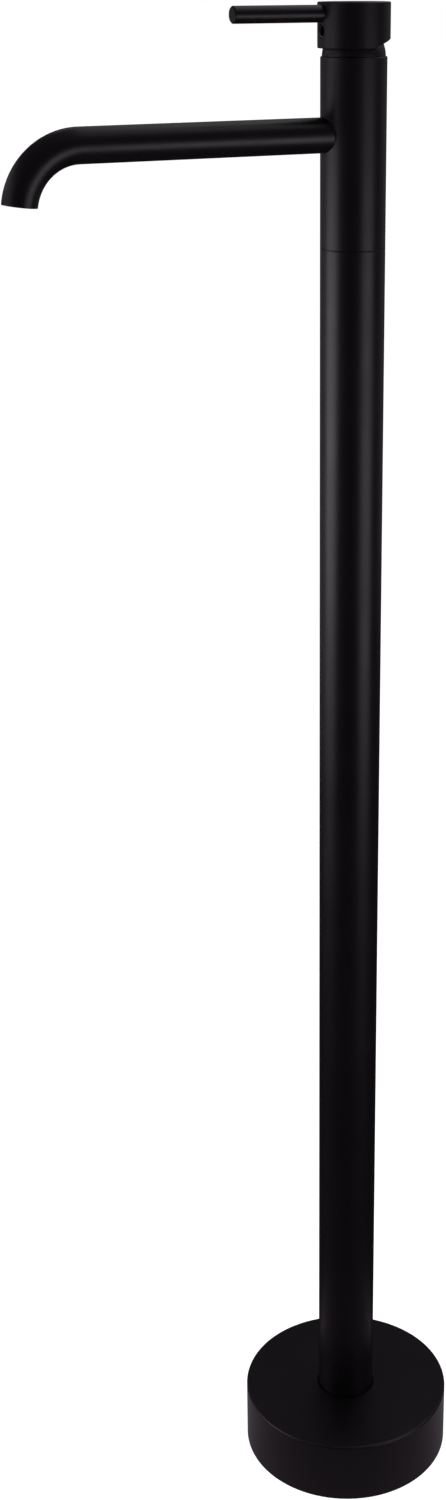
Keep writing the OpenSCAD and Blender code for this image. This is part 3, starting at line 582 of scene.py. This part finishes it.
def addCover(v):
    low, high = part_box("base_cover")
    outer, top = high.x, high.z
    ringLow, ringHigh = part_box("cover_grip_ring")
    bore = ringHigh.x + v["ringFit"] - v["grooveDepth"]
    neckOut = bore + v["neckWall"]
    neckLow = top - v["neckHeight"]
    grooveLow, grooveHigh = ringLow.z - v["ringFit"], ringHigh.z + v["ringFit"]
    grooveOut = bore + v["grooveDepth"]
    inner = outer - v["wall"]
    ceiling = top - v["top"]
    loop = roundedLoop([
        (inner, low.z, v["footEdge"]), (outer, low.z, v["footEdge"]), (outer, top, v["softEdge"]),
        (bore, top, v["neckEdge"]), (bore, grooveHigh, fineEdge), (grooveOut, grooveHigh, fineEdge),
        (grooveOut, grooveLow, fineEdge), (bore, grooveLow, fineEdge), (bore, neckLow, fineEdge),
        (neckOut, neckLow, v["neckEdge"]), (neckOut, ceiling, v["neckEdge"]),
        (inner, ceiling, v["innerEdge"])], v["edgeSteps"])
    addPiece("baseBell", [revolved(loop, v["turns"])], "base_bell", "matt_black", ["base_cover"])


addCover(coverValues)

# Grip ring: a soft ring with a rounded lip against the riser
gripValues = {"depth": 1.7 * mm, "lipHeight": 3.0 * mm, "lipStart": 0.4 * mm,
              "lipGap": 0.06 * mm,  # between the lip and the riser
              "backEdge": 0.3 * mm, "lipEdge": 0.6 * mm, "lipFoot": 0.1 * mm}


def addGripRing(v):
    low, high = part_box("cover_grip_ring")
    back = high.x
    front = back - v["depth"]
    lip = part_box("riser_column")[1].x + v["lipGap"]
    lipLow = low.z + v["lipStart"]
    lipHigh = lipLow + v["lipHeight"]
    loop = roundedLoop([
        (back, low.z, v["backEdge"]), (back, high.z, v["backEdge"]), (front, high.z, fineEdge),
        (front, lipHigh, v["lipFoot"]), (lip, lipHigh, v["lipEdge"]), (lip, lipLow, v["lipEdge"]),
        (front, lipLow, v["lipFoot"]), (front, low.z, fineEdge)])
    addPiece("gripRing", [revolved(loop, roundTurns)], "base_bell", "rubber", ["cover_grip_ring"])


addGripRing(gripValues)

# Domed cover: a slice of a sphere about the handle's pivot
domeValues = {"wall": 1.7 * mm, "height": 10.8 * mm, "threadHeight": 3.3 * mm, "threadStep": 0.65 * mm,
              "edge": 0.35 * mm, "rows": 20, "edgeSteps": 4,
              "footShare": 0.02}  # height of the upright foot, as a share of the sphere's radius


def addDome(v):
    low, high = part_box("cartridge_cover")
    outer, pivot = high.x, low.z
    inner = outer - v["wall"]
    up = np.linspace(math.asin(v["footShare"]), math.asin(v["height"] / outer), v["rows"])
    down = np.linspace(math.asin(v["height"] / inner), math.asin(v["threadHeight"] / inner), v["rows"])
    corners = [(outer, 0.0, 0.0)] + [(outer * math.cos(a), outer * math.sin(a), 0.0) for a in up]
    corners[-1] = (*corners[-1][:2], v["edge"])
    corners += [(inner * math.cos(a), inner * math.sin(a), 0.0) for a in down]
    corners += [(inner - v["threadStep"], v["threadHeight"], 0.0), (inner - v["threadStep"], 0.0, 0.0)]
    loop = roundedLoop(corners, v["edgeSteps"])
    addPiece("domeCover", [revolved(loop, roundTurns, (0, 0, pivot))], "riser", "matt_black",
             ["cartridge_cover"])


addDome(domeValues)
print("round pieces added")

# Lever pin: a turned rod with a broken edge and a threaded stud in the cap
leverValues = {"radius": 5.75 * mm, "studRadius": 3.0 * mm, "studLength": 11.0 * mm, "turns": 96,
               "threadPitch": 1.0 * mm, "threadDepth": 0.35 * mm, "bevel": 0.8 * mm, "edge": 0.25 * mm}


def addLever(v):
    low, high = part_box("lever_pin")
    tip, foot = -low.y, -high.y
    seat = foot + v["studLength"]
    rod = v["radius"]
    thread = threadRows(v["studRadius"], v["threadDepth"], foot, seat, v["threadPitch"])
    corners = [(0.0, foot, 0.0)] + [(r, s, 0.0) for r, s in thread]
    corners += [(rod, seat, v["edge"]), (rod, tip - v["bevel"], v["edge"]),
                (rod - v["bevel"], tip, v["edge"]), (0.0, tip, 0.0)]
    verts, faces = revolved(roundedLoop(corners), v["turns"])
    verts = np.stack([verts[:, 0], -verts[:, 2], verts[:, 1] + (low.z + high.z) / 2], -1)  # laid level
    addPiece("leverRod", [(verts, faces)], "handle", "matt_black", ["lever_pin"])


addLever(leverValues)

# Key hole: a crescent of bare metal on the lower side of its countersink, put there as a painted
# highlight: a bright spot where light catches the hole's lower edge
keyValues = {"height": 1161.2 * mm, "radius": 3.6 * mm, "sink": 1.2 * mm, "skin": 0.03 * mm, "turns": 144,
             "highlightMiddle": 214.0, "highlightHalf": 48.0,  # degrees
             # from the bore, as shares of the cone's length
             "highlightStart": 0.02, "highlightWidth": 0.86, "highlightLeast": 0.02,
             "highlightPower": 0.8, "rows": (0.0, 0.3, 0.65, 1.0), "rounds": 20}


def addKeyHighlight(v):
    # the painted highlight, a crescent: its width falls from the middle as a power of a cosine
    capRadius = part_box("handle_cap")[1].x
    a = angles(v["turns"])
    off = np.clip(np.abs(np.degrees(a) - v["highlightMiddle"]) / v["highlightHalf"], 0, 1)
    width = v["highlightLeast"] + v["highlightWidth"] * np.cos(off * math.pi / 2) ** v["highlightPower"]

    def onCone(share, lift):
        # share 0 at the bore and 1 at the cap's curved face; lift raises it off the cone, into the hole
        edge = np.full(v["turns"], v["radius"] + v["sink"])
        for _ in range(v["rounds"]):  # settles on where the cone meets the cap
            depth = np.sqrt(capRadius ** 2 - (edge * np.cos(a)) ** 2)
            edge = v["radius"] + v["sink"] - capRadius + depth
        r = v["radius"] + (edge - v["radius"]) * share
        y = -(capRadius - v["sink"] + r - v["radius"])
        r = r - lift
        return np.stack([r * np.cos(a), y, v["height"] + r * np.sin(a)], -1)

    rows = [onCone(v["highlightStart"] + width * t, v["skin"]) for t in v["rows"]]
    rows += [onCone(v["highlightStart"] + width * t, -v["skin"]) for t in reversed(v["rows"])]
    # a painted highlight: bare metal only where the bright spot should show
    addPiece("keyHolePaintedHighlight", [gridSolid(np.stack(rows, 1))], "handle", "nickel_plated")


addKeyHighlight(keyValues)

# Spout: a drawn tube swept along a straight run and a bend, open at the mouth for the aerator
spoutValues = {"run": 200.0 * mm, "bendRadius": 42.5 * mm, "bendDegrees": 82.5, "wall": 2.0 * mm,
               "socket": 4.0 * mm, "pocketRadius": 10.55 * mm, "pocketDepth": 7.5 * mm, "rim": 0.35 * mm,
               "pocketEdge": 0.2 * mm, "rowLength": 1.5 * mm, "turns": 112}
beadValues = {"size": 0.7 * mm, "sunk": 0.1 * mm, "rows": 7, "turns": 112}


def spoutPath(v, height, s):
    # place of the tube's axis, and the bend in radians, at the length s from the riser's axis
    bend = np.maximum(s - v["run"], 0) / v["bendRadius"]
    straight = np.minimum(s, v["run"])
    y = -straight - v["bendRadius"] * np.sin(bend)
    z = height - v["bendRadius"] * (1 - np.cos(bend))
    return y, z, bend


def addSpout(v):
    # the loop's radius is laid off round the path: x across, and the rest square to the path
    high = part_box("spout")[1]
    radius = high.x
    height = high.z - radius
    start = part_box("riser_column")[1].x - v["socket"]
    end = v["run"] + v["bendRadius"] * math.radians(v["bendDegrees"])
    pocket = end - v["pocketDepth"]
    bore = radius - v["wall"]
    loop = refined(roundedLoop([
        (radius, start, fineEdge), (radius, end, v["rim"]), (v["pocketRadius"], end, v["pocketEdge"]),
        (v["pocketRadius"], pocket, fineEdge), (bore, pocket, fineEdge), (bore, start, fineEdge)]),
        v["rowLength"])
    a = angles(v["turns"])[:, None]
    r, s = loop[:, 0][None], loop[:, 1][None]
    y, z, bend = spoutPath(v, height, s)
    across, out = r * np.cos(a), r * np.sin(a)
    grid = np.stack([across, y - out * np.sin(bend), z + out * np.cos(bend)], -1)
    addPiece("spoutTube", [gridSolid(grid)], "riser", "matt_black", ["spout"])
    return height, radius


def addBrazeBead(v, height, radius):
    # painted-over bead in the corner between the spout and the head: a parabola from one to the other
    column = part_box("riser_column")[1].x
    a = angles(v["turns"])

    def onColumn(tubeRadius, lift):
        x = tubeRadius * np.cos(a)
        return np.stack([x, -np.sqrt((column + lift) ** 2 - x ** 2), height + tubeRadius * np.sin(a)], -1)

    corner = onColumn(radius, 0.0)
    columnSide = onColumn(radius + v["size"], 0.0)
    outwards = np.array([0.0, -v["size"], 0.0])
    tubeSide = corner + outwards
    curve = [columnSide * (1 - t) ** 2 + corner * 2 * t * (1 - t) + tubeSide * t ** 2
             for t in np.linspace(0, 1, v["rows"])]
    hidden = [onColumn(radius - v["sunk"], 0.0) + outwards, onColumn(radius - v["sunk"], -v["sunk"]),
              onColumn(radius + v["size"], -v["sunk"])]
    addPiece("brazeBead", [gridSolid(np.stack(curve + hidden, 1))], "riser", "matt_black")


addBrazeBead(beadValues, *addSpout(spoutValues))
print("spout and lever added")

# Union nuts: chamfered hexagons with a threaded bore
nutValues = {"flats": 19.0 * mm,
             "corners": 0.5774, "chamferStart": 0.93,  # as shares of the flats and of half the flats
             "chamferSlope": 1.9, "chamferRows": 7,
             "bore": 7.5 * mm, "mouth": 0.7 * mm, "mouthFlare": 0.6 * mm,
             "threadStart": 0.8 * mm, "threadDepth": 0.5 * mm, "pitch": 1.34 * mm, "threads": 4,
             "runOut": 0.4 * mm, "relief": 7.75 * mm, "roof": 1.8 * mm, "roofBore": 5.5 * mm,
             "roofEdge": 0.3 * mm, "turns": 144, "sharp": 20.0}


def addUnionNut(v, name, node, body):
    low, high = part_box(node)
    tall = high.z - low.z
    side = hexagon(v["flats"])
    face = v["flats"] / 2 * v["chamferStart"]

    def chamfered(depth):
        return lambda angle: np.minimum(side(angle), face + depth * v["chamferSlope"])

    depths = np.linspace(0, (v["flats"] * v["corners"] - face) / v["chamferSlope"], v["chamferRows"])
    rows = [(chamfered(d), d) for d in depths]
    rows += [(chamfered(d), tall - d) for d in depths[::-1]]
    under = tall - v["roof"]
    threadEnd = v["pitch"] * v["threads"] + v["threadStart"]
    rows += [(v["roofBore"] + v["roofEdge"], tall), (v["roofBore"], tall - v["roofEdge"]),
             (v["roofBore"], under), (v["relief"], under), (v["relief"], threadEnd + v["runOut"])]
    rows += threadRows(v["bore"] + v["threadDepth"], v["threadDepth"], v["threadStart"], threadEnd,
                       v["pitch"])[::-1]
    rows += [(v["bore"], v["mouth"]), (v["bore"] + v["mouthFlare"], 0.0)]
    centre = ((low.x + high.x) / 2, 0, low.z)
    addPiece(name, [shapedRows(rows, v["turns"], centre)], body, "nickel_plated", [node], v["sharp"])


addUnionNut(nutValues, "hotUnionNut", "hot_union_nut", "hot_nut")
addUnionNut(nutValues, "coldUnionNut", "cold_union_nut", "cold_nut")

# Socket bolts: cap screws with a knurled head and a hexagon socket
boltValues = {
    "count": 4, "shank": 3.0 * mm, "threadDepth": 0.3 * mm, "pitch": 1.0 * mm, "runOut": 0.5 * mm,
    "head": 4.98 * mm, "headHeight": 6.0 * mm, "knurls": 40, "knurlDepth": 0.12 * mm,
    # the head's bevels: insets, and heights over the underside or depths below the top
    "headFoot": ((0.4 * mm, 0.0), (0.15 * mm, 0.2 * mm)),
    "headTop": ((0.15 * mm, 0.8 * mm), (0.25 * mm, 0.3 * mm), (0.6 * mm, 0.0)),
    "knurlStart": 0.5 * mm, "knurlEnd": 1.2 * mm,  # over the underside, and below the top
    "key": 4.88 * mm, "keyDepth": 3.0 * mm, "keyCone": 0.8 * mm, "turns": 160, "sharp": 28.0,
}


def addSocketBolts(v):
    low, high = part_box("socket_bolts")
    reach = high.x - v["head"]
    top, underHead = high.z, high.z - v["headHeight"]

    def knurled(angle):
        return v["head"] - v["knurlDepth"] * (0.5 + 0.5 * np.cos(v["knurls"] * angle))

    key = hexagon(v["key"])
    rows = [(0.0, low.z)]
    rows += threadRows(v["shank"], v["threadDepth"], low.z, underHead - v["runOut"], v["pitch"])
    rows.append((v["shank"], underHead))
    rows += [(v["head"] - inset, underHead + up) for inset, up in v["headFoot"]]
    rows += [(knurled, underHead + v["knurlStart"]), (knurled, top - v["knurlEnd"])]
    rows += [(v["head"] - inset, top - down) for inset, down in v["headTop"]]
    rows += [(key, top), (key, top - v["keyDepth"]), (0.0, top - v["keyDepth"] - v["keyCone"])]
    solids = [shapedRows(rows, v["turns"], (reach * math.cos(a), reach * math.sin(a), 0))
              for a in angles(v["count"])]
    addPiece("socketCapScrews", solids, "riser", "steel", ["socket_bolts"], v["sharp"])


addSocketBolts(boltValues)

# Ferrules: sleeves crimped onto the hoses in three grooves
ferruleValues = {
    "outer": 7.0 * mm, "inner": 6.05 * mm, "length": 15.0 * mm, "edge": 0.25 * mm, "turns": 96,
    "grooves": (0.28, 0.50, 0.72),  # shares of the length
    "grooveDepth": 0.4 * mm, "grooveHalf": 0.9 * mm, "floorHalf": 0.4 * mm,
    "crestEdge": 0.25 * mm, "floorEdge": 0.2 * mm, "edgeSteps": 3, "support": 0.1 * mm,
}


def addFerrules(v):
    low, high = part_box("hose_ferrules")
    outer, inner, half, floorHalf = v["outer"], v["inner"], v["grooveHalf"], v["floorHalf"]
    centre = high.x - outer
    deep = outer - v["grooveDepth"]
    corners = [(inner, 0.0, 0.0), (outer, 0.0, v["edge"])]
    for share in v["grooves"]:
        s = v["length"] * share
        corners += [(outer, s - half, v["crestEdge"]), (deep, s - floorHalf, v["floorEdge"]),
                    (deep, s + floorHalf, v["floorEdge"]), (outer, s + half, v["crestEdge"])]
    corners += [(outer, v["length"], v["edge"]), (inner, v["length"], 0.0)]
    loop = roundedLoop(corners, v["edgeSteps"], v["support"])
    solids = [revolved(loop, v["turns"], (x, 0, z))
              for x in (-centre, centre) for z in (low.z, high.z - v["length"])]
    addPiece("crimpedFerrules", solids, "riser", "steel", ["hose_ferrules"])


addFerrules(ferruleValues)
print("fixings added")
